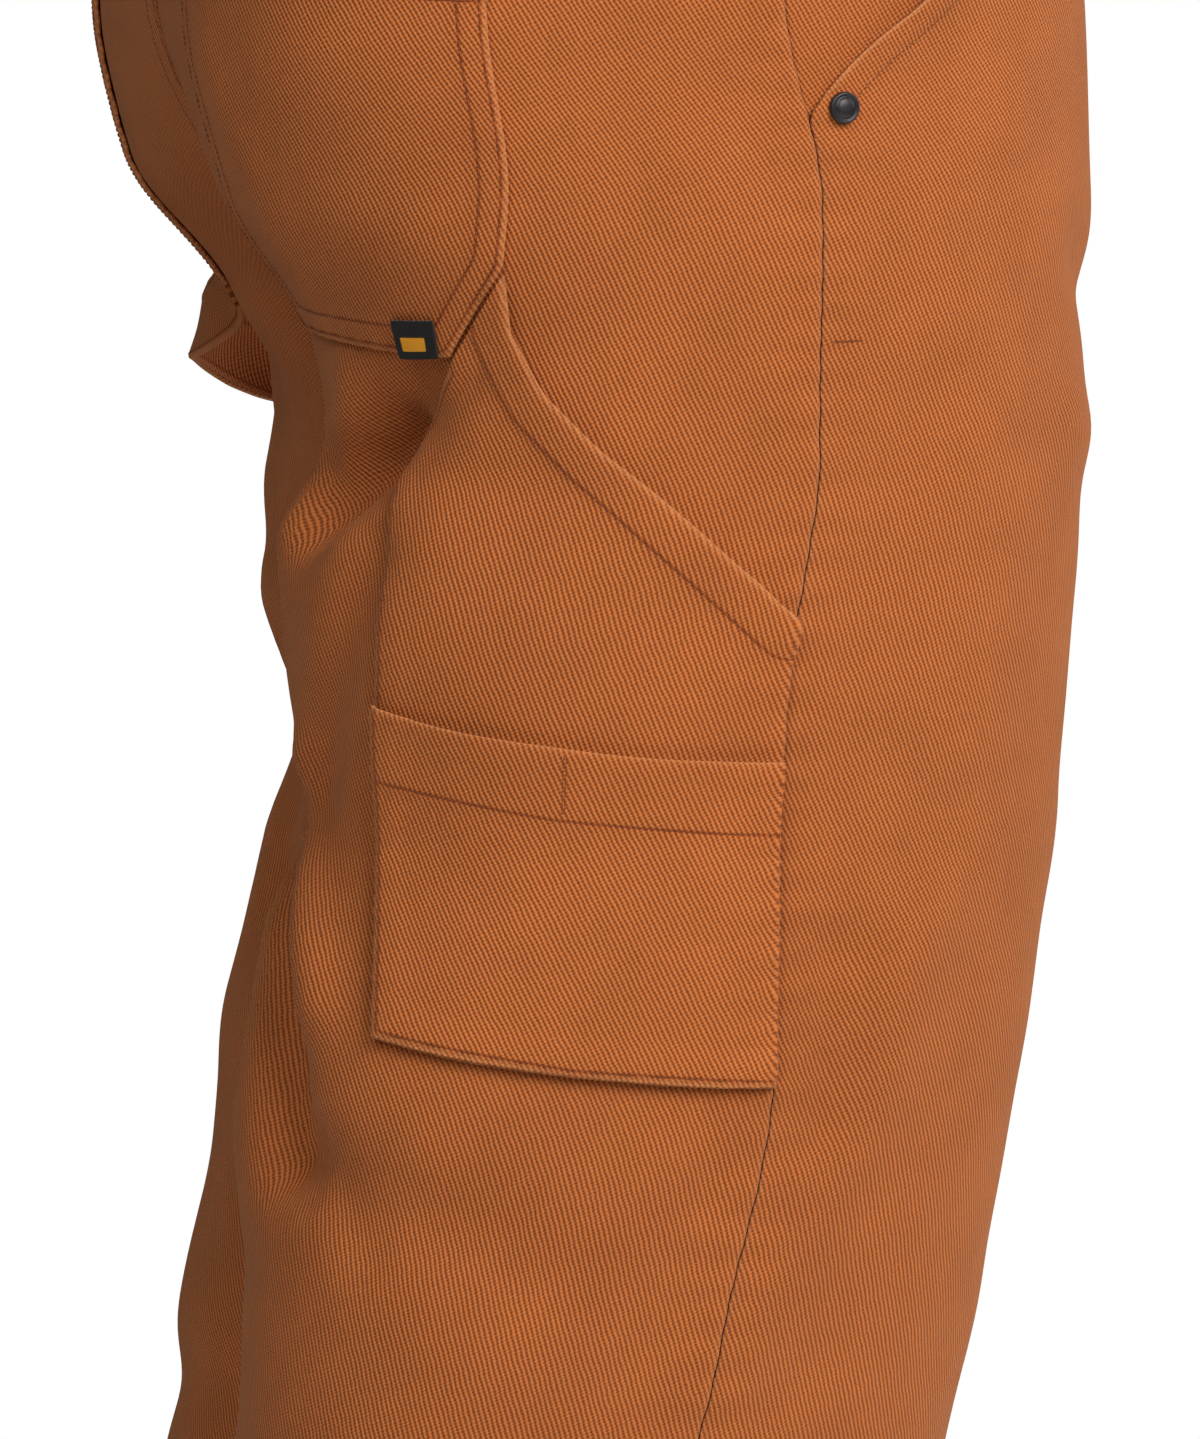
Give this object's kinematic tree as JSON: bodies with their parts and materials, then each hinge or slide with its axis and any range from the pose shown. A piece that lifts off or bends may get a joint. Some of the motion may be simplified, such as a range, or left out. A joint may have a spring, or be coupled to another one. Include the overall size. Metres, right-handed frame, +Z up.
{
  "type": "carpenter pants",
  "caption": "Hollow work trousers in heavy twill, in worn form, with a slanted tool pocket, utility pocket, back patch pockets and hammer loop.",
  "frame": {"origin": "middle of the waist opening, halfway up the waistband, where the wearer's waist holds the garment", "axes": "+Z up, the wearer faces -Y, the wearer's right leg is at -X"},
  "size_m": [0.438, 0.3251, 1.0999],
  "materials": {
    "twill": "heavy cotton twill, matt, piece dyed brown duck",
    "black_metal": "black oxide, satin, slightly worn",
    "tab_webbing": "fine black woven tape with a plain amber bar"
  },
  "bodies": {
    "root": {"front_panel_right": "twill", "front_panel_left": "twill", "back_panel_right": "twill", "back_panel_left": "twill", "front_pocket_facing_right": "twill", "front_pocket_facing_left": "twill", "fly_shield": "twill", "waistband": "twill", "waist_button": "black_metal", "belt_loop_front_right": "twill", "belt_loop_front_left": "twill", "belt_loop_side_right": "twill", "belt_loop_side_left": "twill", "belt_loop_back_right": "twill", "belt_loop_back_left": "twill", "back_pocket_right": "twill", "back_pocket_left": "twill", "tool_pocket": "twill", "utility_pocket": "twill", "pocket_tab": "tab_webbing", "hammer_loop": "twill", "rivet_right": "black_metal", "rivet_left": "black_metal"}
  },
  "joints": []
}
